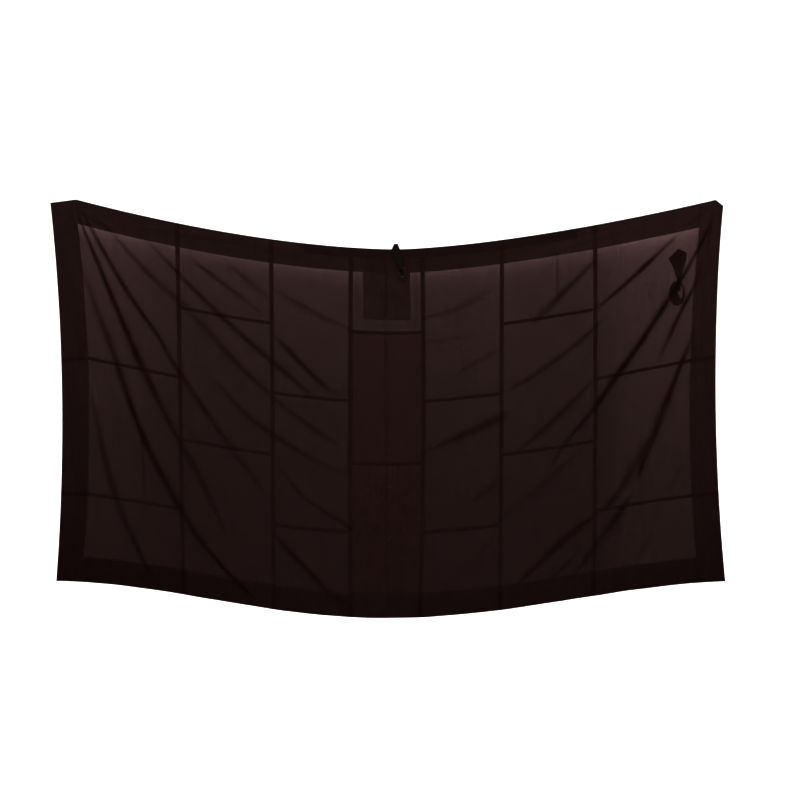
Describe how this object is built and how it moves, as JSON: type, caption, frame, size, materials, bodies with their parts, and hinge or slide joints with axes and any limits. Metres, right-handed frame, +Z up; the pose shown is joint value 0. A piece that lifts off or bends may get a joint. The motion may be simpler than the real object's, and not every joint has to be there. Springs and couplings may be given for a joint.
{
  "type": "buddhist monk robe",
  "caption": "Rectangular patchwork monk's robe of sheer dark cloth with a doubled border, neck patch, hook and ring tab, hung from its two top corners.",
  "frame": {"origin": "midway between the two hands that hold the top corners, at the height of their grip", "axes": "+Z up, +X along the top edge to the viewer's right, -Y towards the viewer, on the side with the neck patch"},
  "size_m": [2.0261, 0.0379, 1.254],
  "materials": {
    "sheer_cloth": "matt plain-weave voile, one layer",
    "doubled_cloth": "matt plain-weave voile, two or more layers",
    "black_horn": "polished black horn or plastic"
  },
  "bodies": {
    "root": {"border_bottom": "doubled_cloth", "border_left": "doubled_cloth", "border_right": "doubled_cloth", "border_top": "doubled_cloth", "cross_band_1_1": "doubled_cloth", "cross_band_1_2": "doubled_cloth", "cross_band_2_1": "doubled_cloth", "cross_band_2_2": "doubled_cloth", "cross_band_3_1": "doubled_cloth", "cross_band_3_2": "doubled_cloth", "cross_band_4_1": "doubled_cloth", "cross_band_4_2": "doubled_cloth", "cross_band_5_1": "doubled_cloth", "cross_band_5_2": "doubled_cloth", "cross_band_6_1": "doubled_cloth", "cross_band_6_2": "doubled_cloth", "cross_band_7_1": "doubled_cloth", "cross_band_7_2": "doubled_cloth", "hook": "black_horn", "hook_tab": "doubled_cloth", "neck_patch": "doubled_cloth", "neck_strip": "doubled_cloth", "ring": "black_horn", "ring_tab": "doubled_cloth", "strip_1_bottom": "sheer_cloth", "strip_1_middle": "sheer_cloth", "strip_1_top": "sheer_cloth", "strip_2_bottom": "sheer_cloth", "strip_2_middle": "sheer_cloth", "strip_2_top": "sheer_cloth", "strip_3_bottom": "sheer_cloth", "strip_3_middle": "sheer_cloth", "strip_3_top": "sheer_cloth", "strip_4_bottom": "doubled_cloth", "strip_4_middle": "doubled_cloth", "strip_4_top": "sheer_cloth", "strip_5_bottom": "sheer_cloth", "strip_5_middle": "sheer_cloth", "strip_5_top": "sheer_cloth", "strip_6_bottom": "sheer_cloth", "strip_6_middle": "sheer_cloth", "strip_6_top": "sheer_cloth", "strip_7_bottom": "sheer_cloth", "strip_7_middle": "sheer_cloth", "strip_7_top": "sheer_cloth", "upright_band_1": "doubled_cloth", "upright_band_2": "doubled_cloth", "upright_band_3": "doubled_cloth", "upright_band_4": "doubled_cloth", "upright_band_5": "doubled_cloth", "upright_band_6": "doubled_cloth"}
  },
  "joints": []
}
